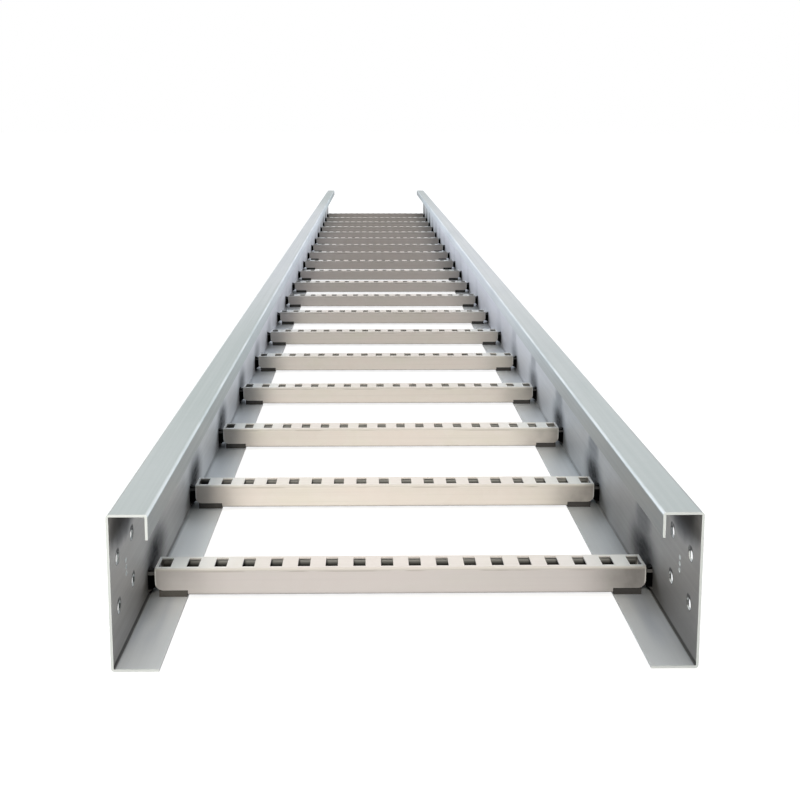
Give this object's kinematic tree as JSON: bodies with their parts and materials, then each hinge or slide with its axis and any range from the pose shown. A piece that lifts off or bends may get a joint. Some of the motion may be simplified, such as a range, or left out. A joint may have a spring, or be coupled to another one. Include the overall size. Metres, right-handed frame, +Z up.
{
  "type": "cable ladder section",
  "caption": "Straight cable ladder section: two folded sheet steel side rails joined by slotted channel rungs, with splice slots near the rail ends.",
  "frame": {"origin": "middle of the footprint, on the underside of the side rails", "axes": "+Y along the ladder, away from the front end; +X across it, towards the right-hand rail as seen from the front end; +Z up"},
  "size_m": [0.454, 5.785, 0.125],
  "materials": {
    "rail_steel": "pre-galvanised sheet, bluish grey, satin",
    "rung_steel": "pre-galvanised sheet, warm light grey, satin",
    "block_plastic": "black moulded plastic"
  },
  "bodies": {
    "root": {"side_rail_left": "rail_steel", "side_rail_right": "rail_steel", "rung_01": "rung_steel", "rung_02": "rung_steel", "rung_03": "rung_steel", "rung_04": "rung_steel", "rung_05": "rung_steel", "rung_06": "rung_steel", "rung_07": "rung_steel", "rung_08": "rung_steel", "rung_09": "rung_steel", "rung_10": "rung_steel", "rung_11": "rung_steel", "rung_12": "rung_steel", "rung_13": "rung_steel", "rung_14": "rung_steel", "rung_15": "rung_steel", "rung_16": "rung_steel", "rung_17": "rung_steel", "rung_18": "rung_steel", "rung_19": "rung_steel", "end_block_left_01": "block_plastic", "end_block_left_02": "block_plastic", "end_block_left_03": "block_plastic", "end_block_left_04": "block_plastic", "end_block_left_05": "block_plastic", "end_block_left_06": "block_plastic", "end_block_left_07": "block_plastic", "end_block_left_08": "block_plastic", "end_block_left_09": "block_plastic", "end_block_left_10": "block_plastic", "end_block_left_11": "block_plastic", "end_block_left_12": "block_plastic", "end_block_left_13": "block_plastic", "end_block_left_14": "block_plastic", "end_block_left_15": "block_plastic", "end_block_left_16": "block_plastic", "end_block_left_17": "block_plastic", "end_block_left_18": "block_plastic", "end_block_left_19": "block_plastic", "end_block_right_01": "block_plastic", "end_block_right_02": "block_plastic", "end_block_right_03": "block_plastic", "end_block_right_04": "block_plastic", "end_block_right_05": "block_plastic", "end_block_right_06": "block_plastic", "end_block_right_07": "block_plastic", "end_block_right_08": "block_plastic", "end_block_right_09": "block_plastic", "end_block_right_10": "block_plastic", "end_block_right_11": "block_plastic", "end_block_right_12": "block_plastic", "end_block_right_13": "block_plastic", "end_block_right_14": "block_plastic", "end_block_right_15": "block_plastic", "end_block_right_16": "block_plastic", "end_block_right_17": "block_plastic", "end_block_right_18": "block_plastic", "end_block_right_19": "block_plastic"}
  },
  "joints": []
}
